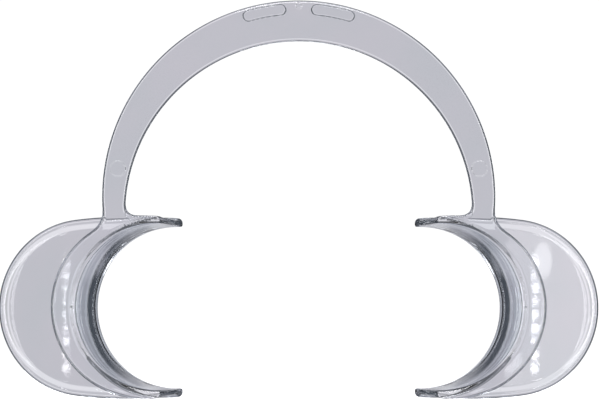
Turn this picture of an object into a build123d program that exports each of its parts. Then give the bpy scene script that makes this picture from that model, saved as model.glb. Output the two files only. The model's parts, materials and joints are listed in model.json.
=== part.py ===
from build123d import *
import math
import os

# Cheek retractor, one moulding in clear plastic.
# Millimetres. +Z up, the side that faces the dentist is -Y, x = 0 is the middle of the mouth.
# Every outline is drawn in the front view (x, z) on the right-hand side and mirrored for the left.

# ---- bow: a flat strip between two circles that do not share a centre ----
BOW_OUT_R = 46.0
BOW_OUT_Z = 47.3
BOW_IN_R = 40.6
BOW_IN_Z = 43.1
BOW_Y0 = 0.0
BOW_Y1 = 2.6

# ---- elastic pivots ----
FLEX_DEG = 36.0        # from the top of the bow
FLEX_GAP = 0.25
FLEX_SHOULDER = 0.42   # of the half width: how far the crown stops short of the pivot
TWIST_Z = 48.4         # narrowest place of the leg
TWIST_GAP = 0.2
ARM_SPLIT_Z = 66.0     # where the wide arm becomes the narrow leg

# ---- crown details ----
PAD_OUT_R = 45.2
PAD_WIDTH = 2.5
PAD_FROM_DEG = 3.9
PAD_TO_DEG = 17.2
PAD_RISE = 0.35
GATE_D = 1.6
GATE_RISE = 0.2
GATE_Z = 92.0

# ---- ejector mark on each leg ----
EJECTOR_X = 42.3
EJECTOR_Z = 53.9
EJECTOR_D = 4.0
EJECTOR_RISE = 0.12

# ---- foot of the leg, where it spreads into the front flange ----
FOOT_OUT_X = 47.7      # the outer edge runs into the flange here
FOOT_OUT_Z = 39.0
FOOT_IN_X = 36.6       # and the inner edge here
FOOT_IN_Z = 42.9
FOOT_WAIST_Z = 44.8    # half way down the foot
FOOT_WAIST_OUT = 0.1   # how far the outer edge is past the neck there
FOOT_WAIST_IN = 1.1    # and the inner edge
FOOT_ROOT = 4.0        # how far the foot's outline reaches into the flange's

# ---- front flange, outside the lips ----
FRONT_Y0 = 0.3
FRONT_T = 1.7
FRONT_X = 36.2
FRONT_Z = 21.5
FRONT_A = 21.8
FRONT_B = 21.5
FRONT_END_X = 32.4

# ---- web, the floor of the lip channel: a half ring that leans towards the middle ----
WALL = 1.5
WEB_FRONT_X = 32.6
WEB_FRONT_Z = 21.6
WEB_FRONT_R = 19.5
WEB_BACK_X = 28.4
WEB_BACK_Z = 21.45
WEB_BACK_R = 19.0
WEB_BACK_Y = 14.6
MOUTH_Y0 = -1.7        # the space inside the web is cut out from here
MOUTH_Y1 = 26.6        # to here

# ---- back flange, inside the cheek: part of an upright cylinder ----
BACK_X = 50.1
BACK_Z = 21.45
BACK_R = 20.9
BACK_HALF_HEIGHT = 21.45
BACK_TURN_DEG = 83.0
BACK_TIP_X = 27.9
BACK_T = 1.6
BACK_APEX_X = 36.0
BACK_APEX_Y = 12.2
BACK_BEND_R = 75.0
RIM_W = 1.9
RIM_PROUD = 0.35

# ---- horns ----
HORN_CUT_X = 33.6

BIG = 200.0            # larger than the object


def slab(outline, y0, y1):
    """A front-view outline (x, z) made solid between two depths."""
    return Pos(0, y1, 0) * Rot(90, 0, 0) * extrude(outline, y1 - y0)


def at_depth(outline, y):
    """A front-view outline (x, z) placed at one depth."""
    return Pos(0, y, 0) * Rot(90, 0, 0) * outline


def biggest(shape):
    """The largest solid of a shape, as a plain solid."""
    return max(shape.solids(), key=lambda solid: solid.volume)


def block(x0=-BIG, x1=BIG, y0=-BIG, y1=BIG, z0=-BIG, z1=BIG):
    """A plain box from its limits, endless where none is given."""
    middle = Pos((x0 + x1) / 2, (y0 + y1) / 2, (z0 + z1) / 2)
    return middle * Box(x1 - x0, y1 - y0, z1 - z0)


def bow_ring():
    """The whole bow in the front view, legs included."""
    outer = Pos(0, BOW_OUT_Z) * Circle(BOW_OUT_R)
    inner = Pos(0, BOW_IN_Z) * Circle(BOW_IN_R)
    upper = Pos(0, TWIST_Z + BIG / 2) * Rectangle(BIG, BIG)
    return (outer - inner) & upper


def flex_frame():
    """The pivot on the bow: its point, the half width of the strip there, the way along the arm."""
    lean = math.radians(FLEX_DEG)
    out = (math.sin(lean), math.cos(lean))
    drop = BOW_OUT_Z - BOW_IN_Z
    reach = -drop * out[1] + math.sqrt(BOW_IN_R**2 - (drop * out[0]) ** 2)
    middle = (reach + BOW_OUT_R) / 2
    half = (BOW_OUT_R - reach) / 2
    point = (out[0] * middle, BOW_OUT_Z + out[1] * middle)
    return point, half, FLEX_DEG


def beyond(point, turn, shift):
    """A big square that starts at a line across the strip and covers the arm side."""
    return Pos(point[0], point[1]) * Rot(0, 0, -turn) * Pos(shift + BIG / 2, 0) * Rectangle(BIG, BIG)


def crown():
    """Middle of the bow, hollowed at each end to take the round end of an arm."""
    point, half, turn = flex_frame()
    outline = bow_ring() - beyond(point, turn, -FLEX_SHOULDER * half)
    outline -= Pos(*point) * Circle(half + FLEX_GAP)
    other = mirror(beyond(point, turn, -FLEX_SHOULDER * half), about=Plane.YZ)
    outline -= other
    outline -= Pos(-point[0], point[1]) * Circle(half + FLEX_GAP)
    return biggest(slab(outline, BOW_Y0, BOW_Y1))


def arm():
    """Right arm of the bow: a round end on the pivot, then the strip down to the neck."""
    point, half, turn = flex_frame()
    strip = bow_ring() & beyond(point, turn, 0.0)
    strip &= Pos(BIG / 2, 0) * Rectangle(BIG, 2 * BIG)
    outline = strip + Pos(*point) * Circle(half)
    body = slab(outline, BOW_Y0, BOW_Y1)
    body -= block(z1=TWIST_Z + TWIST_GAP / 2)
    return biggest(body)


def grip_pad():
    """Raised curved bar near the outer edge of the crown."""
    middle_r = PAD_OUT_R - PAD_WIDTH / 2
    trim = math.degrees(PAD_WIDTH / 2 / middle_r)
    path = CenterArc((0, BOW_OUT_Z), middle_r, 90 - PAD_TO_DEG + trim, PAD_TO_DEG - PAD_FROM_DEG - 2 * trim)
    return slab(SlotArc(path, PAD_WIDTH), BOW_Y0 - PAD_RISE, BOW_Y0)


def gate_mark():
    """Low round stub left by the gate."""
    return slab(Pos(0, GATE_Z) * Circle(GATE_D / 2), BOW_Y0 - GATE_RISE, BOW_Y0)


def ejector_mark():
    """Low round witness mark of an ejector pin."""
    return slab(Pos(EJECTOR_X, EJECTOR_Z) * Circle(EJECTOR_D / 2), BOW_Y0 - EJECTOR_RISE, BOW_Y0)


def front_oval():
    """Outer outline of the front flange."""
    return Pos(FRONT_X, FRONT_Z) * Ellipse(FRONT_A, FRONT_B)


def arm_foot():
    """The leg spreading into the front flange."""
    top = TWIST_Z - TWIST_GAP / 2
    out_x = math.sqrt(BOW_OUT_R**2 - (BOW_OUT_Z - top) ** 2)
    in_x = math.sqrt(BOW_IN_R**2 - (top - BOW_IN_Z) ** 2)
    neck_out = (out_x, top)
    neck_in = (in_x, top)
    waist_out = (out_x + FOOT_WAIST_OUT, FOOT_WAIST_Z)
    waist_in = (in_x - FOOT_WAIST_IN, FOOT_WAIST_Z)
    low_out = (FOOT_OUT_X, FOOT_OUT_Z)
    low_in = (FOOT_IN_X, FOOT_IN_Z)
    outside = Spline(neck_out, waist_out, low_out)
    inside = Spline(low_in, waist_in, neck_in, tangents=[(1, 0), (0, 1)])
    root_out = (FOOT_OUT_X - FOOT_ROOT, FOOT_OUT_Z - FOOT_ROOT)
    root_in = (FOOT_IN_X, FOOT_IN_Z - FOOT_ROOT)
    base = Polyline(low_out, root_out, root_in, low_in)
    outline = make_face(Curve() + [outside, base, inside, Line(neck_in, neck_out)])
    outline -= front_oval()
    return biggest(slab(outline, BOW_Y0, BOW_Y1))


def half_ring(x, z, r_in):
    """Half-ring outline, open towards the middle of the mouth, with round ends."""
    outer = CenterArc((x, z), r_in + WALL, -90, 180)
    inner = CenterArc((x, z), r_in, -90, 180)
    mid = r_in + WALL / 2
    low = ThreePointArc(outer @ 0, (x - WALL / 2, z - mid), inner @ 0)
    high = ThreePointArc(outer @ 1, (x - WALL / 2, z + mid), inner @ 1)
    return make_face(Curve() + [outer, high, inner, low])


def web_whole():
    """The leaning half ring, from the front flange to behind the back flange's front face."""
    front = at_depth(half_ring(WEB_FRONT_X, WEB_FRONT_Z, WEB_FRONT_R), FRONT_Y0)
    back = at_depth(half_ring(WEB_BACK_X, WEB_BACK_Z, WEB_BACK_R), WEB_BACK_Y)
    return loft([front.face(), back.face()])


def mouth_void():
    """The leaning round space inside the web."""
    lean_x = (WEB_BACK_X - WEB_FRONT_X) / (WEB_BACK_Y - FRONT_Y0)
    lean_z = (WEB_BACK_Z - WEB_FRONT_Z) / (WEB_BACK_Y - FRONT_Y0)
    lean_r = (WEB_BACK_R - WEB_FRONT_R) / (WEB_BACK_Y - FRONT_Y0)
    faces = []
    for y in (MOUTH_Y0, MOUTH_Y1):
        step = y - FRONT_Y0
        spot = Pos(WEB_FRONT_X + lean_x * step, WEB_FRONT_Z + lean_z * step)
        faces.append(at_depth(spot * Circle(WEB_FRONT_R + lean_r * step), y).face())
    return loft(faces)


def front_flange(void):
    """Crescent plate in front of the lips."""
    outline = front_oval() & Pos(FRONT_END_X + BIG / 2, 0) * Rectangle(BIG, BIG)
    body = slab(outline, FRONT_Y0, FRONT_Y0 + FRONT_T) - void
    return biggest(body)


def back_outline():
    """Outer outline of the back flange: a round outer end and long, nearly level edges to the tips."""
    across = math.cos(math.radians(BACK_TURN_DEG))
    up = math.sin(math.radians(BACK_TURN_DEG))
    edge_r = (BACK_HALF_HEIGHT - BACK_R * up) / (1 - up)
    edge_x = BACK_X - (edge_r - BACK_R) * across
    edge_drop = edge_r - BACK_HALF_HEIGHT
    tip_rise = math.sqrt(edge_r**2 - (edge_x - BACK_TIP_X) ** 2) - edge_drop
    sides = []
    for way in (1, -1):
        corner = (BACK_X + BACK_R * across, BACK_Z + way * BACK_R * up)
        crest = (edge_x, BACK_Z + way * BACK_HALF_HEIGHT)
        tip = (BACK_TIP_X, BACK_Z + way * tip_rise)
        sides.append(ThreePointArc(corner, crest, tip))
    round_end = CenterArc((BACK_X, BACK_Z), BACK_R, -BACK_TURN_DEG, 2 * BACK_TURN_DEG)
    return make_face(Curve() + [round_end] + sides + [Line(sides[0] @ 1, sides[1] @ 1)])


def bent_layer(front_shift, back_shift):
    """Upright cylindrical layer that the back flange is cut from."""
    axis = Pos(BACK_APEX_X, BACK_APEX_Y + BACK_BEND_R, BACK_Z)
    outer = axis * Cylinder(BACK_BEND_R + front_shift, BIG)
    inner = axis * Cylinder(BACK_BEND_R - BACK_T - back_shift, BIG)
    near = block(x0=0, y1=BACK_APEX_Y + BACK_BEND_R / 2)
    return (outer - inner) & near


def back_plate(void, outline, front_shift=0.0, back_shift=0.0):
    """A back-flange outline cut out of the bent layer, less the space inside the web."""
    body = slab(outline, 0, BIG) & bent_layer(front_shift, back_shift)
    mouth = block(x1=WEB_BACK_X, z0=BACK_Z - WEB_BACK_R, z1=BACK_Z + WEB_BACK_R)
    return body - void - mouth


def cheek_pieces():
    """All the regions of the right-hand holder, by name."""
    void = mouth_void()
    outline = back_outline()
    inside = offset(outline, amount=-RIM_W)
    flange = front_flange(void)
    behind_bend = Pos(BACK_APEX_X, BACK_APEX_Y + BACK_BEND_R, BACK_Z) * Cylinder(BACK_BEND_R, BIG)
    web = web_whole() - flange - behind_bend
    rim = back_plate(void, outline - inside, RIM_PROUD, RIM_PROUD) - web
    plate = back_plate(void, inside) - rim
    side = block(x0=HORN_CUT_X)
    upper = block(x1=HORN_CUT_X, z0=BACK_Z)
    lower = block(x1=HORN_CUT_X, z1=BACK_Z)
    together = web + rim + plate
    return {
        "front_flange": flange,
        "lip_channel_web": biggest(web & side),
        "back_flange": biggest(plate & side),
        "back_flange_rim": biggest(rim & side),
        "upper_horn": biggest(together & upper),
        "lower_horn": biggest(together & lower),
    }


def middle_depth():
    """Half way between the front of the grip pads and the rearmost point of the rim."""
    reach = BACK_X + BACK_R - BACK_APEX_X
    rear_r = BACK_BEND_R - BACK_T - RIM_PROUD
    rear = BACK_APEX_Y + BACK_BEND_R - math.sqrt(rear_r**2 - reach**2)
    return (rear + BOW_Y0 - PAD_RISE) / 2


def build():
    """Every node by name, with y = 0 half way through the depth."""
    nodes = {"crown": crown(), "gate_mark": gate_mark()}
    whole_arm = arm()
    right = {
        "grip_pad": grip_pad(),
        "bow_arm": (whole_arm & block(z0=ARM_SPLIT_Z)).solid(),
        "leg": (whole_arm & block(z1=ARM_SPLIT_Z)).solid(),
        "ejector_mark": ejector_mark(),
        "arm_foot": arm_foot(),
    }
    right.update(cheek_pieces())
    for name, shape in right.items():
        nodes["right_" + name] = shape
        nodes["left_" + name] = mirror(shape, about=Plane.YZ)
    shift = Pos(0, -middle_depth(), 0)
    return {name: shift * shape for name, shape in nodes.items()}


os.makedirs("parts", exist_ok=True)
for node, shape in build().items():
    export_step(shape, "parts/" + node + ".step")
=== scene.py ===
"""Looks of the clear cheek retractor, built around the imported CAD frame.

The object is one moulding, so its skin is one smooth surface. It is written as a signed distance
(negative inside the plastic) in millimetres, drawn as a mesh, and cut into pieces where it bends.
Only the right-hand half is worked out: the left is its mirror image.
"""

import json
import math

import bpy
import numpy as np
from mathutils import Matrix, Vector


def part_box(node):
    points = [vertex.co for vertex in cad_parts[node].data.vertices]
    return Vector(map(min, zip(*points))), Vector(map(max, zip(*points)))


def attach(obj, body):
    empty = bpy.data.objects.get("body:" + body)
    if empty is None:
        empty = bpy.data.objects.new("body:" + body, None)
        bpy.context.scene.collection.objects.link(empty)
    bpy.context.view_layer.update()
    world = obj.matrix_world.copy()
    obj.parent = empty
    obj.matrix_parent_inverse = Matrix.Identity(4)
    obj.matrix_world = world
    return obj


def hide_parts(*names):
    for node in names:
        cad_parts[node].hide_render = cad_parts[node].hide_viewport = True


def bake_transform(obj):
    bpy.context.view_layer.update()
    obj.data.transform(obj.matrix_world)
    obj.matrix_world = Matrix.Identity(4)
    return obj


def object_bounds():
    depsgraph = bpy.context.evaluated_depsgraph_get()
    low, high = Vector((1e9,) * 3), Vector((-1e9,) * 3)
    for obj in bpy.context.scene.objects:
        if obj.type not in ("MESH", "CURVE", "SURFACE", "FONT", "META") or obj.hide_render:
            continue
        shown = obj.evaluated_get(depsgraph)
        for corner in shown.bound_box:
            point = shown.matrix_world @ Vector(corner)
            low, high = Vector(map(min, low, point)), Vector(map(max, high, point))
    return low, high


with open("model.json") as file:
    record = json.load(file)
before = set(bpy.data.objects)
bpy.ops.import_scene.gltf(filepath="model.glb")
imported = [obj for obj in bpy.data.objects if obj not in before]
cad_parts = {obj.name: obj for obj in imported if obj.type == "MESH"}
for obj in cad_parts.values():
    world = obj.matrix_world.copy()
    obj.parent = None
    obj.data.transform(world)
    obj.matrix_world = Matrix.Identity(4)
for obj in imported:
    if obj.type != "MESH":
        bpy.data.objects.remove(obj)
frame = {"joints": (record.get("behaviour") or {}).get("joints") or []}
CAD_LOW, CAD_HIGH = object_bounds()

MM = 0.001


# ---- places taken from the frame, in millimetres ----
def box_mm(node):
    """Lowest and highest corner of a CAD node, in millimetres."""
    low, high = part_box(node)
    return np.array(low) / MM, np.array(high) / MM


CROWN_LOW, CROWN_HIGH = box_mm("crown")
PAD_LOW = box_mm("right_grip_pad")[0]
GATE_LOW, GATE_HIGH = box_mm("gate_mark")
EJECTOR_LOW, EJECTOR_HIGH = box_mm("right_ejector_mark")
FLANGE_LOW, FLANGE_HIGH = box_mm("right_front_flange")
RIM_LOW, RIM_HIGH = box_mm("right_back_flange_rim")
JOINTS = {joint["name"]: joint for joint in frame["joints"]}
TWIST_Z = JOINTS["right_twist"]["pos_m"][2] / MM

# ---- shape of the moulding, in millimetres; depths count from the front face of the bow ----
FACE_Y = CROWN_LOW[1]                  # front face of the bow, in the shared frame
BOW_T = CROWN_HIGH[1] - CROWN_LOW[1]   # thickness of the bow
BOW_OUT_R = 46.0
BOW_OUT_Z = CROWN_HIGH[2] - BOW_OUT_R
BOW_IN_R = 40.6
BOW_IN_Z = BOW_OUT_Z - 4.2
BOW_EDGE = 0.8                         # rounding of the bow's long edges
LEG_END_Z = 41.0                       # the leg's outline ends inside the front flange
BOW_EDGE_Z = LEG_END_Z + 6             # the flange's edge rounding turns into the bow's up to here

PAD_RISE = CROWN_LOW[1] - PAD_LOW[1]
PAD_OUT_R = 45.2
PAD_WIDTH = 2.5
PAD_FROM = math.radians(3.9)           # the pad's two ends, as angles from the top of the bow
PAD_TO = math.radians(17.2)
PAD_SLOPE = 0.2                        # width of its sloping top edge
PAD_FILLET = 0.15
GATE_RISE = CROWN_LOW[1] - GATE_LOW[1]
GATE_FILLET = 0.1
EJECTOR_RISE = CROWN_LOW[1] - EJECTOR_LOW[1]
EJECTOR_FILLET = 0.05
MARK_SLOPE = 0.25
MARK_DEPTH = 0.6                       # how far the raised marks reach into the bow

FRONT_FULLER = 0.2                     # the flange's full round edge needs this much more on each side
FRONT_Y0 = FLANGE_LOW[1] - FACE_Y - FRONT_FULLER
FRONT_Y1 = FLANGE_HIGH[1] - FACE_Y + FRONT_FULLER
FRONT_EDGE = 1.02                      # rounding of its edge
FRONT_END_X = FLANGE_LOW[0]
OVAL_A = 21.8                          # half axes and centre of its outer edge, seen from the front
OVAL_B = (FLANGE_HIGH[2] - FLANGE_LOW[2]) / 2
OVAL_X = FLANGE_HIGH[0] - OVAL_A
OVAL_Z = (FLANGE_HIGH[2] + FLANGE_LOW[2]) / 2
HORN_EDGE = 0.3                        # the flange edges are crisper towards the horns
HORN_FADE_X = (34.0, 44.0)             # between these distances from the middle
HORN_END_ROUND = 1.0                   # rounding of the horns' ends, seen from the front
FOOT_FILLET = 3.6                      # between leg and flange, seen from the front
FOOT_FADE_Z = (35.5, 47.0)             # the leg's extra thickness runs out between these heights
FOOT_FLARE_Z = 45.5                    # below here the thick foot widens outwards
FOOT_FLARE = 0.4
FOOT_SIDE = (1.1, 0.1)                 # it thins between these distances outside the bow

WALL = 1.5
WEB_FRONT = np.array([32.6, 21.6, 19.5])   # centre x, centre z and radius at the front
WEB_BACK = np.array([28.4, 21.45, 19.0])   # and at the back
WEB_Y = (1.0, 14.0)                    # depths of those two places
WEB_CURVE = 0.5                        # 0 is a straight lean; more leans most at the front
WEB_LEAN_COS = 0.957                   # about the cosine of the lean: turns a width into a thickness
WEB_START = FRONT_Y0 + 0.9             # the web starts inside the front flange
WEB_EDGE = 0.5

BACK_R = 20.9
BACK_X = RIM_HIGH[0] - BACK_R
BACK_Z = (RIM_HIGH[2] + RIM_LOW[2]) / 2
BACK_HALF = (RIM_HIGH[2] - RIM_LOW[2]) / 2
BACK_TURN = math.radians(83.0)         # the round end meets the level edges at this angle
BACK_TIP_X = 27.9                      # the back flange's horns end here
BACK_T = 1.6
BACK_EDGE = 1.0
BEND_X = 36.0                          # the back flange comes furthest forward here
BEND_Y = 12.2
BEND_R = 75.0                          # radius of its bend, seen from above
RIM_PROUD = 0.22                       # how far the rim stands out on each side of the flange
RIM_FADE = (2.8, 0.9)                  # the rim thickens between these distances from the edge

CORNER = (0.8, 1.5)                    # fillet between web and front flange, at the horns and half way up
CORNER_FADE = (16.0, 8.0)              # it changes between these heights above or below the middle
BACK_CORNER = 2.0                      # fillet between web and back flange
MOUTH_ROUND_FRONT = 1.2                # rounding of the web's rims on the mouth side
MOUTH_ROUND_BACK = 0.7
MOUTH_FILLET = 0.3                     # rounding where the mouth-side face cuts the flanges

# ---- the grid that the skin is drawn on, and where the skin is cut and bends, in millimetres ----
CELL = 0.25
MIDDLE_REACH = 0.6 * CELL              # points this near the plane x = 0 are put on it
GRID_BEFORE = 1.2                      # the grid starts this far outside the moulding
GRID_AFTER = 1                         # and ends at least this far outside it
NECK_REACH = 3.0                       # the neck piece reaches this far above and below the twist pivot
NECK_HIGH_Z = TWIST_Z + NECK_REACH
NECK_LOW_Z = TWIST_Z - NECK_REACH
CROWN_END_X = 8.0                      # the crown's piece ends and the arm's starts
HOLDER_NODES = (
    "front_flange", "lip_channel_web", "back_flange", "back_flange_rim", "upper_horn", "lower_horn")

# ---- looks; the noise scales are per metre and the wave height is in metres ----
IOR = 1.58
CAST_SCALE = 70
CAST = ((0.3, (0.90, 0.92, 0.935)), (0.7, (0.955, 0.94, 0.965)))
# painted shade: stops of a blue-grey darkening of the colour where the surface turns away from the view, for
# dark edges
EDGE_SHADE = ((0.25, (1, 1, 1)), (0.5, (0.74, 0.79, 0.84)), (0.9, (0.42, 0.47, 0.52)))
FLOW_SCALE = 220
FLOW_DISTORTION = 1.5
WAVE_STRENGTH = 0.1
WAVE_HEIGHT = 0.00004
HAZE = (0.015, 0.035)                  # lowest and highest roughness

# ---- surroundings that the plastic sees; each edge is a smooth step between two parts of a direction ----
ROOM_GREY = (0.53, 0.53, 0.575)
SURROUND = (0.8, 0.8, 0.84)
DARK_SCREEN = (0.08, 0.09, 0.105)
LOW_WINDOW = (0.4, 0.4, 0.44)
DIM_CEILING = (0.5, 0.5, 0.54)
CARD_EDGE = (0.1, 0.2)                 # off the axis of view: the grey card ends, the surround starts
RING_EDGE = (0.24, 0.36)               # off the axis of view: the surround ends, the far side starts
CEILING_EDGE = (0.55, 0.68)            # up or down: the dim ceiling ends, the dark screen starts
SCREEN_EDGE = (0.15, 0.4)              # sideways: the dark screens start
LOW_WINDOW_BOTTOM = (-0.6, -0.5)       # up: the low window starts
LOW_WINDOW_TOP = (-0.28, -0.2)         # up: it ends
LOW_WINDOW_SIDE = (0.4, 0.5)           # sideways: it starts
SIDE_WINDOW = (0.97, 0.99)             # sideways: a grey window at each side starts
FRONT_HALF = (-0.3, -0.1)              # along Y: the bright half on the camera's side ends
BACKDROP_GLOW = 1.05

# ---- floor, lights and camera, in metres and watts ----
FLOOR_SIZE = 6
FLOOR_DROP = 0.005
FLOOR_COLOUR = (0.9, 0.9, 0.91, 1)
FLOOR_ROUGHNESS = 0.9
FLOOR_GLOW = 1.0
SOFTBOX_AIM = (0, 0, 0.04)
SOFTBOXES = (                          # name, place, size, power
    ("top", (0.0, -0.5, 0.9), (0.6, 0.3), 4),
    ("left", (-0.8, -0.45, 0.2), (0.12, 0.9), 1.2),
    ("right", (0.8, -0.45, 0.2), (0.12, 0.9), 1.2),
)
LAMP_DISTANCE = 0.35
COLUMN_LAMPS = 9
COLUMN_X = 0.055
COLUMN_LOW_Z = 0.006
COLUMN_STEP = 0.0038
COLUMN_LAMP_SIZE = (0.022, 0.0019)
COLUMNS = (                            # name, turn, power of each lamp
    ("left_lamp", -31.5, 0.0008),
    ("right_lamp", 33, 0.0011),
)
LAMPS = (                              # name, turn, aim, size, power
    ("right_high", 36, (0.0585, 0, 0.037), (0.05, 0.010), 0.0028),
    ("right_low", 24, (0.0515, 0, 0.008), (0.05, 0.008), 0.0016),
    ("right_sheen", 42, (0.06, 0, 0.021), (0.3, 0.15), 0.13),
)
CAMERA_DISTANCE = 1.6
CAMERA_PITCH = math.radians(1.2)       # the camera looks up by this much
CAMERA_SENSOR = 36.0
CAMERA_CLIP = (0.05, 20)
VIEW_WIDTH = 0.1403                    # width of the view at the front of the object
CAMERA_AIM = Vector((0.0003, FACE_Y * MM, 0.04655))


# ---- the moulding as a signed distance ----
def soft_min(a, b, k):
    """The smaller distance, with a fillet of about k where they meet."""
    h = np.clip(0.5 + 0.5 * (b - a) / k, 0, 1)
    return b + (a - b) * h - k * h * (1 - h)


def soft_max(a, b, k):
    """The larger distance, with a rounding of about k where they meet."""
    return -soft_min(-a, -b, k)


def smooth_step(low, high, value):
    """0 at low, 1 at high, smooth between and level beyond."""
    t = np.clip((value - low) / (high - low), 0, 1)
    return t * t * (3 - 2 * t)


def rounded(flat, deep, r):
    """A plate with rounded edges, from its outline distance and its thickness distance."""
    a, b = flat + r, deep + r
    return np.minimum(np.maximum(a, b), 0) + np.hypot(np.maximum(a, 0), np.maximum(b, 0)) - r


def layer(y, y0, y1):
    """Distance to a layer between two depths."""
    return np.abs(y - (y0 + y1) / 2) - (y1 - y0) / 2


def bow_sides(x, z):
    """How far a point is outside the bow's outer circle, and inside its inner one."""
    return np.hypot(x, z - BOW_OUT_Z) - BOW_OUT_R, BOW_IN_R - np.hypot(x, z - BOW_IN_Z)


def oval_outline(x, z):
    """Front view of the front flange's outer edge."""
    return (np.hypot((x - OVAL_X) / OVAL_A, (z - OVAL_Z) / OVAL_B) - 1) * OVAL_B


def crisper(x, r):
    """An edge rounding that gets smaller towards the horns."""
    return HORN_EDGE + (r - HORN_EDGE) * smooth_step(*HORN_FADE_X, x)


def front_plate(x, y, z):
    """Bow, leg, foot and front flange: one plate that thins where it becomes the flange."""
    outer, inner = bow_sides(x, z)
    bow = np.maximum(np.maximum(outer, inner), LEG_END_Z - z)
    flange = soft_max(oval_outline(x, z), FRONT_END_X - x, HORN_END_ROUND)
    outline = soft_min(bow, flange, FOOT_FILLET)
    foot = outer - FOOT_FLARE * np.maximum(FOOT_FLARE_Z - z, 0)
    thick = smooth_step(*FOOT_SIDE, foot) * smooth_step(*FOOT_FADE_Z, z)
    y0 = FRONT_Y0 * (1 - thick)
    y1 = FRONT_Y1 + (BOW_T - FRONT_Y1) * thick
    edge = crisper(x, FRONT_EDGE)
    edge = edge + (BOW_EDGE - edge) * smooth_step(LEG_END_Z, BOW_EDGE_Z, z)
    return rounded(outline, layer(y, y0, y1), edge)


def sloped(flat, deep, width):
    """A raised shape whose top edge is cut off at a slope of this width."""
    return np.maximum(np.maximum(flat, deep), (flat + deep + width) * math.sqrt(0.5))


def grip_pad(x, y, z):
    """Raised curved bar near the outer edge of the crown."""
    radius = PAD_OUT_R - PAD_WIDTH / 2
    along = np.arctan2(x, z - BOW_OUT_Z) - (PAD_FROM + PAD_TO) / 2
    past_end = np.maximum(np.abs(along) * radius - ((PAD_TO - PAD_FROM) * radius - PAD_WIDTH) / 2, 0)
    across = np.hypot(x, z - BOW_OUT_Z) - radius
    outline = np.hypot(across, past_end) - PAD_WIDTH / 2
    return sloped(outline, layer(y, -PAD_RISE, MARK_DEPTH), PAD_SLOPE)


def round_mark(x, y, z, low, high, rise):
    """A low round boss with a sloping edge, between two corners of a box."""
    cx, cz = (low[0] + high[0]) / 2, (low[2] + high[2]) / 2
    outline = np.hypot(x - cx, z - cz) - (high[0] - low[0]) / 2
    return sloped(outline, layer(y, -rise, MARK_DEPTH), MARK_SLOPE)


def web_place(y):
    """Centre x, centre z and inner radius of the web at a depth."""
    t = np.clip((y - WEB_Y[0]) / (WEB_Y[1] - WEB_Y[0]), 0, 1)
    t = t * (1 + WEB_CURVE * (1 - t))
    return [a + (b - a) * t for a, b in zip(WEB_FRONT, WEB_BACK)]


def from_mouth(x, y, z):
    """How far a point is outside the web's mouth-side face, before its rims are rounded."""
    cx, cz, r = web_place(y)
    across = np.where(x > cx, np.hypot(x - cx, z - cz), np.abs(z - cz))
    return across - r


def bend_layer(x, y):
    """How far a point is behind the back flange's front face, along the bend's radius."""
    return BEND_R - np.hypot(x - BEND_X, y - BEND_Y - BEND_R)


def web(x, y, z):
    """The leaning half ring between the flanges."""
    cx, cz, r = web_place(y)
    middle = r + WALL / 2
    dx, dz = x - cx, z - cz
    round_part = np.abs(np.hypot(dx, dz) - middle)
    end_part = np.hypot(dx, np.abs(dz) - middle)
    ring = np.where(dx > 0, round_part, end_part) - WALL / 2
    deep = np.maximum(WEB_START - y, bend_layer(x, y) - BACK_T / 2)
    return rounded(ring * WEB_LEAN_COS, deep, WEB_EDGE)


def back_outline(x, z):
    """Front view of the back flange's outer edge: a round end and two nearly level edges."""
    across, up = math.cos(BACK_TURN), math.sin(BACK_TURN)
    edge_r = (BACK_HALF - BACK_R * up) / (1 - up)
    dx, dz = x - BACK_X, np.abs(z - BACK_Z)
    level = np.hypot(dx + (edge_r - BACK_R) * across, dz + (edge_r - BACK_R) * up) - edge_r
    end = np.hypot(dx, dz) - BACK_R
    return np.where(dz * across < dx * up, end, level)


def back_plate(x, y, z):
    """The bent plate inside the cheek, which thickens softly into its rim."""
    outline = back_outline(x, z)
    half = BACK_T / 2 + RIM_PROUD * smooth_step(-RIM_FADE[0], -RIM_FADE[1], outline)
    deep = np.abs(bend_layer(x, y) - BACK_T / 2) - half
    outline = soft_max(outline, BACK_TIP_X - x, HORN_END_ROUND)
    return rounded(outline, deep, crisper(x, BACK_EDGE))


def stand_back(depth, r):
    """How far a rim with rounding r stands back at a depth behind its own face."""
    near = np.clip(1 - depth / r, 0, 1)
    return r * (1 - np.sqrt(1 - near**2))


def mouth_side(x, y, z):
    """Positive in the open middle of the C, whose front and back rims are rounded."""
    front = stand_back(y - FRONT_Y0, MOUTH_ROUND_FRONT)
    back = stand_back(BACK_T + RIM_PROUD - bend_layer(x, y), MOUTH_ROUND_BACK)
    return front + back - from_mouth(x, y, z)


def plain_moulding(x, y, z):
    """The moulding without its raised marks."""
    corner = CORNER[0] + (CORNER[1] - CORNER[0]) * smooth_step(*CORNER_FADE, np.abs(z - OVAL_Z))
    d = soft_min(front_plate(x, y, z), web(x, y, z), corner)
    d = soft_min(d, back_plate(x, y, z), BACK_CORNER)
    return soft_max(d, mouth_side(x, y, z), MOUTH_FILLET)


def plastic(x, y, z):
    """Signed distance to the whole right half of the moulding."""
    gate = round_mark(x, y, z, GATE_LOW, GATE_HIGH, GATE_RISE)
    ejector = round_mark(x, y, z, EJECTOR_LOW, EJECTOR_HIGH, EJECTOR_RISE)
    d = soft_min(plain_moulding(x, y, z), grip_pad(x, y, z), PAD_FILLET)
    d = soft_min(d, gate, GATE_FILLET)
    return soft_min(d, ejector, EJECTOR_FILLET)


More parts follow.
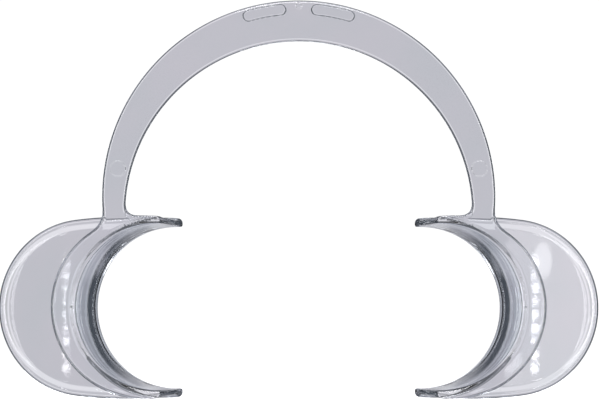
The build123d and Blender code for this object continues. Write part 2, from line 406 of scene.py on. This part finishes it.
# ---- drawing the skin ----
def skin(distance, low, high, cell):
    """Points and quads of the surface where distance is 0, one point in each grid cell that it crosses."""
    axes = [np.arange(a, b + cell, cell) for a, b in zip(low, high)]
    values = distance(*np.meshgrid(*axes, indexing="ij", sparse=True))
    shape = [n - 1 for n in values.shape]
    offsets = [(i, j, k) for i in (0, 1) for j in (0, 1) for k in (0, 1)]
    corner = [values[i:i + shape[0], j:j + shape[1], k:k + shape[2]] for i, j, k in offsets]
    total = np.zeros(shape + [3])
    count = np.zeros(shape)
    for a in range(8):
        for b in range(a + 1, 8):
            pa, pb = np.array(offsets[a], float), np.array(offsets[b], float)
            if np.abs(pa - pb).sum() != 1:
                continue
            cross = (corner[a] < 0) != (corner[b] < 0)
            t = corner[a][cross] / (corner[a][cross] - corner[b][cross])
            total[cross] += pa + (pb - pa) * t[:, None]
            count += cross
    active = count > 0
    index = np.full(shape, -1)
    index[active] = np.arange(active.sum())
    place = total[active] / count[active][:, None] + np.argwhere(active)
    return np.array(low) + place * cell, grid_quads(values < 0, index)


def grid_quads(inside, index):
    """One quad round each grid edge whose two ends are on different sides of the surface."""
    quads = []
    for axis in range(3):
        u, v = [(1, 2), (2, 0), (0, 1)][axis]
        first = [slice(1, -1)] * 3
        second = [slice(1, -1)] * 3
        first[axis], second[axis] = slice(0, -1), slice(1, None)
        a, b = inside[tuple(first)], inside[tuple(second)]
        for way in (True, False):
            at = np.argwhere((a != b) & (a == way))
            at[:, u] += 1
            at[:, v] += 1
            ring = []
            for du, dv in ((1, 1), (0, 1), (0, 0), (1, 0)):
                cell_at = at.copy()
                cell_at[:, u] -= du
                cell_at[:, v] -= dv
                ring.append(index[cell_at[:, 0], cell_at[:, 1], cell_at[:, 2]])
            ring = np.stack(ring, 1)
            quads.append(ring if way else ring[:, ::-1])
    return np.concatenate(quads)


def gradient(distance, points, step=0.02):
    """Unit outward direction at each point."""
    slope = np.zeros_like(points)
    for axis in range(3):
        shift = np.zeros(3)
        shift[axis] = step
        slope[:, axis] = distance(*(points + shift).T) - distance(*(points - shift).T)
    return slope / np.maximum(np.linalg.norm(slope, axis=1, keepdims=True), 1e-9)


def settle(distance, points, rounds=5):
    """Moves each point straight onto the surface."""
    for _ in range(rounds):
        points = points - gradient(distance, points) * distance(*points.T)[:, None]
    return points


def relax(distance, points, quads, level, rounds=4):
    """Spaces the points out evenly along the surface; those that are level stay on the plane x = 0."""
    ends = [(0, 1), (1, 2), (2, 3), (3, 0)]
    here = np.concatenate([quads[:, a] for a, b in ends] + [quads[:, b] for a, b in ends])
    there = np.concatenate([quads[:, b] for a, b in ends] + [quads[:, a] for a, b in ends])
    count = np.bincount(here, minlength=len(points))
    for _ in range(rounds):
        total = np.stack([np.bincount(here, points[there, axis], len(points)) for axis in range(3)], 1)
        points = settle(distance, total / count[:, None], rounds=2)
        points[level, 0] = 0
    return points


# the cells are centred on the plane x = 0, so that a row of points falls on it for the halves to share
grid_low = (-1.5 * CELL, -GRID_BEFORE, -GRID_BEFORE)
grid_high = (RIM_HIGH[0] + GRID_AFTER, RIM_HIGH[1] - FACE_Y + GRID_AFTER, CROWN_HIGH[2] + GRID_AFTER)
points, quads = skin(plastic, grid_low, grid_high, CELL)
points = settle(plastic, points)
on_middle = np.abs(points[:, 0]) < MIDDLE_REACH
points = relax(plastic, points, quads, on_middle)
quads = quads[(points[quads][:, :, 0] >= 0).all(1)]
normals = gradient(plastic, points)
normals[on_middle, 0] = 0
points[:, 1] += FACE_Y

# ---- cutting it where it bends ----
centre = points[quads].mean(1)
is_low = centre[:, 2] <= NECK_HIGH_Z
part_of = {
    "crown": ~is_low & (centre[:, 0] < CROWN_END_X),
    "arm": ~is_low & (centre[:, 0] >= CROWN_END_X),
    "neck": is_low & (centre[:, 2] > NECK_LOW_Z),
    "holder": centre[:, 2] <= NECK_LOW_Z,
}


def used_only(verts, norms, polys):
    """The mesh without the points that no polygon uses."""
    used = np.unique(polys)
    renumber = np.full(len(verts), -1)
    renumber[used] = np.arange(len(used))
    return verts[used], norms[used], renumber[polys]


def piece(name, region, sides, material):
    """A mesh object of one region of the skin, on the right, on the left or across the middle."""
    verts, norms, polys = used_only(points, normals, quads[part_of[region]])
    flip = np.array([-1, 1, 1])
    if sides == "left":
        verts, norms, polys = verts * flip, norms * flip, polys[:, ::-1]
    if sides == "both":
        # the two halves share the points on the plane x = 0
        mate = np.arange(len(verts)) + len(verts)
        shared = np.flatnonzero(verts[:, 0] == 0)
        mate[shared] = shared
        polys = np.concatenate([polys, mate[polys][:, ::-1]])
        verts, norms = np.concatenate([verts, verts * flip]), np.concatenate([norms, norms * flip])
        verts, norms, polys = used_only(verts, norms, polys)
    mesh = bpy.data.meshes.new(name)
    mesh.from_pydata((verts * MM).tolist(), [], polys.tolist())
    mesh.polygons.foreach_set("use_smooth", [True] * len(mesh.polygons))
    mesh.normals_split_custom_set_from_vertices(norms.tolist())
    mesh.materials.append(material)
    obj = bpy.data.objects.new(name, mesh)
    bpy.context.scene.collection.objects.link(obj)
    return obj


# ---- the plastic ----
def colour_ramp(nodes, stops):
    """A colour ramp node with these stops only."""
    node = nodes.new("ShaderNodeValToRGB")
    elements = node.color_ramp.elements
    for place, colour in stops:
        elements.new(place).color = colour + (1,)
    elements.remove(elements[0])
    elements.remove(elements[-1])
    return node


def clear_plastic():
    """Clear polycarbonate: a faint lavender cast that drifts a little, painted blue-grey shade that darkens
    the colour where the surface turns away from the view, standing in for dark edges, and the slight waves
    of its flow."""
    material = bpy.data.materials.new("clear_plastic")
    material.use_nodes = True
    nodes, links = material.node_tree.nodes, material.node_tree.links
    shader = nodes["Principled BSDF"]
    shader.inputs["IOR"].default_value = IOR
    shader.inputs["Transmission Weight"].default_value = 1.0
    coord = nodes.new("ShaderNodeTexCoord")
    cast = nodes.new("ShaderNodeTexNoise")
    cast.inputs["Scale"].default_value = CAST_SCALE
    cast.inputs["Detail"].default_value = 2
    tint = colour_ramp(nodes, CAST)
    facing = nodes.new("ShaderNodeLayerWeight")
    # painted shade: the colour is multiplied darker and bluer where the surface turns away from the view
    edge_shade = colour_ramp(nodes, EDGE_SHADE)
    body = nodes.new("ShaderNodeMix")
    body.data_type = "RGBA"
    body.blend_type = "MULTIPLY"
    body.inputs[0].default_value = 1
    flow = nodes.new("ShaderNodeTexNoise")
    flow.inputs["Scale"].default_value = FLOW_SCALE
    flow.inputs["Detail"].default_value = 3
    flow.inputs["Distortion"].default_value = FLOW_DISTORTION
    bump = nodes.new("ShaderNodeBump")
    bump.inputs["Strength"].default_value = WAVE_STRENGTH
    bump.inputs["Distance"].default_value = WAVE_HEIGHT
    haze = nodes.new("ShaderNodeMapRange")
    haze.inputs["To Min"].default_value = HAZE[0]
    haze.inputs["To Max"].default_value = HAZE[1]
    links.new(coord.outputs["Object"], cast.inputs["Vector"])
    links.new(coord.outputs["Object"], flow.inputs["Vector"])
    links.new(cast.outputs[0], tint.inputs[0])
    links.new(facing.outputs["Facing"], edge_shade.inputs[0])
    links.new(tint.outputs[0], body.inputs[6])
    links.new(edge_shade.outputs[0], body.inputs[7])
    links.new(body.outputs[2], shader.inputs["Base Color"])
    links.new(flow.outputs[0], bump.inputs["Height"])
    links.new(bump.outputs[0], shader.inputs["Normal"])
    links.new(flow.outputs[0], haze.inputs["Value"])
    links.new(haze.outputs[0], shader.inputs["Roughness"])
    return material


# ---- the pieces and what they follow ----
plastic_look = clear_plastic()
crown = piece("crown_bar", "crown", "both", plastic_look)
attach(crown, "crown")
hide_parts("crown", "gate_mark", "left_grip_pad", "right_grip_pad")

for side, way in (("left", -1), ("right", 1)):
    arm = piece(side + "_bow_arm_skin", "arm", side, plastic_look)
    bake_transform(arm)
    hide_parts(side + "_bow_arm", side + "_leg", side + "_ejector_mark")
    neck = piece(side + "_neck_skin", "neck", side, plastic_look)
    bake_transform(neck)
    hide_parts(side + "_arm_foot")
    cheek = piece(side + "_holder_skin", "holder", side, plastic_look)
    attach(cheek, side + "_cheek")
    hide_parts(*[side + "_" + node for node in HOLDER_NODES])


# ---- stage, light and camera ----
def world_light():
    """White where the camera sees it. The plastic sees a soft grey card behind it, a bright surround and
    then dark screens, which its edges pick up. Weaker light comes from low down, the sides and the front."""
    world = bpy.data.worlds.new("studio")
    bpy.context.scene.world = world
    world.use_nodes = True
    nodes, links = world.node_tree.nodes, world.node_tree.links
    nodes.clear()

    def step(value, edge, inverse=False):
        """A smooth 0 to 1 between an edge's two values, or 1 to 0."""
        node = nodes.new("ShaderNodeMapRange")
        node.interpolation_type = "SMOOTHSTEP"
        node.inputs["From Min"].default_value = edge[0]
        node.inputs["From Max"].default_value = edge[1]
        node.inputs["To Min"].default_value = float(inverse)
        node.inputs["To Max"].default_value = float(not inverse)
        links.new(value, node.inputs["Value"])
        return node.outputs[0]

    def combine(operation, a, b=None):
        """One arithmetic node on two values."""
        node = nodes.new("ShaderNodeMath")
        node.operation = operation
        links.new(a, node.inputs[0])
        if b is not None:
            links.new(b, node.inputs[1])
        return node.outputs[0]

    def mixed(amount, a, b):
        """A colour between a and b; each is a colour or another node's output."""
        node = nodes.new("ShaderNodeMix")
        node.data_type = "RGBA"
        links.new(amount, node.inputs[0])
        for colour, socket in ((a, node.inputs[6]), (b, node.inputs[7])):
            if isinstance(colour, tuple):
                socket.default_value = colour + (1,)
            else:
                links.new(colour, socket)
        return node.outputs[2]

    coord = nodes.new("ShaderNodeTexCoord")
    split = nodes.new("ShaderNodeSeparateXYZ")
    links.new(coord.outputs["Generated"], split.inputs[0])
    sideways = combine("ABSOLUTE", split.outputs["X"])
    up = split.outputs["Z"]
    squares = combine("ADD", combine("MULTIPLY", sideways, sideways), combine("MULTIPLY", up, up))
    off_axis = combine("SQRT", squares)
    low_side = combine("MULTIPLY", step(up, LOW_WINDOW_BOTTOM), step(up, LOW_WINDOW_TOP, True))
    low_side = combine("MULTIPLY", low_side, step(sideways, LOW_WINDOW_SIDE))
    height = combine("ABSOLUTE", up)
    far_side = mixed(step(height, CEILING_EDGE), DIM_CEILING, DARK_SCREEN)
    far_side = mixed(step(sideways, SCREEN_EDGE), far_side, DARK_SCREEN)
    room = mixed(step(off_axis, CARD_EDGE), ROOM_GREY, SURROUND)
    room = mixed(step(off_axis, RING_EDGE), room, far_side)
    room = mixed(low_side, room, LOW_WINDOW)
    room = mixed(step(sideways, SIDE_WINDOW), room, ROOM_GREY)
    room = mixed(step(split.outputs["Y"], FRONT_HALF, True), room, SURROUND)
    lit = nodes.new("ShaderNodeBackground")
    links.new(room, lit.inputs["Color"])
    seen = nodes.new("ShaderNodeBackground")
    seen.inputs["Color"].default_value = (1, 1, 1, 1)
    seen.inputs["Strength"].default_value = BACKDROP_GLOW
    path = nodes.new("ShaderNodeLightPath")
    mix = nodes.new("ShaderNodeMixShader")
    out = nodes.new("ShaderNodeOutputWorld")
    links.new(path.outputs["Is Camera Ray"], mix.inputs[0])
    links.new(lit.outputs[0], mix.inputs[1])
    links.new(seen.outputs[0], mix.inputs[2])
    links.new(mix.outputs[0], out.inputs[0])


def floor():
    """A plain white floor, low enough to clear the holders when the bow is squeezed."""
    bpy.ops.mesh.primitive_plane_add(size=FLOOR_SIZE, location=(0, 0, CAD_LOW.z - FLOOR_DROP))
    plane = bpy.context.object
    plane.name = "floor"
    material = bpy.data.materials.new("floor")
    material.use_nodes = True
    shader = material.node_tree.nodes["Principled BSDF"]
    shader.inputs["Base Color"].default_value = FLOOR_COLOUR
    shader.inputs["Roughness"].default_value = FLOOR_ROUGHNESS
    shader.inputs["Emission Color"].default_value = (1, 1, 1, 1)
    shader.inputs["Emission Strength"].default_value = FLOOR_GLOW
    plane.data.materials.append(material)
    plane.visible_transmission = False
    plane.visible_glossy = False


def softbox(name, place, aim, size, power, shape="RECTANGLE"):
    """A soft light pointed at a place."""
    light = bpy.data.lights.new(name, "AREA")
    light.shape = shape
    light.size, light.size_y = size
    light.energy = power
    obj = bpy.data.objects.new(name, light)
    bpy.context.scene.collection.objects.link(obj)
    obj.location = place
    obj.rotation_euler = (Vector(aim) - Vector(place)).to_track_quat("-Z", "Y").to_euler()
    obj.visible_camera = False


def lamp(name, turn, aim, size, power):
    """A small oval lamp level with its aim, turn degrees to the side."""
    lean = math.radians(turn)
    place = Vector(aim) + Vector((math.sin(lean), -math.cos(lean), 0)) * LAMP_DISTANCE
    softbox(name, place, aim, size, power, "ELLIPSE")


def lamp_column(name, turn, power):
    """A column of small wide lamps in front of a cheek flange."""
    for i in range(COLUMN_LAMPS):
        aim = (math.copysign(COLUMN_X, turn), 0, COLUMN_LOW_Z + COLUMN_STEP * i)
        lamp(f"{name}_{i}", turn, aim, COLUMN_LAMP_SIZE, power)


def camera():
    """In front of the middle of the object, a little low."""
    data = bpy.data.cameras.new("camera")
    data.sensor_width = CAMERA_SENSOR
    data.lens = CAMERA_SENSOR * CAMERA_DISTANCE / VIEW_WIDTH
    data.clip_start, data.clip_end = CAMERA_CLIP
    obj = bpy.data.objects.new("camera", data)
    bpy.context.scene.collection.objects.link(obj)
    back = Vector((0, -math.cos(CAMERA_PITCH), -math.sin(CAMERA_PITCH))) * CAMERA_DISTANCE
    obj.location = CAMERA_AIM + back
    obj.rotation_euler = (math.radians(90) + CAMERA_PITCH, 0, 0)
    bpy.context.scene.camera = obj


world_light()
floor()
for name, place, size, power in SOFTBOXES:
    softbox(name, place, SOFTBOX_AIM, size, power)
for name, turn, power in COLUMNS:
    lamp_column(name, turn, power)
for name, turn, aim, size, power in LAMPS:
    lamp(name, turn, aim, size, power)
camera()
bpy.context.scene.view_settings.view_transform = "Standard"
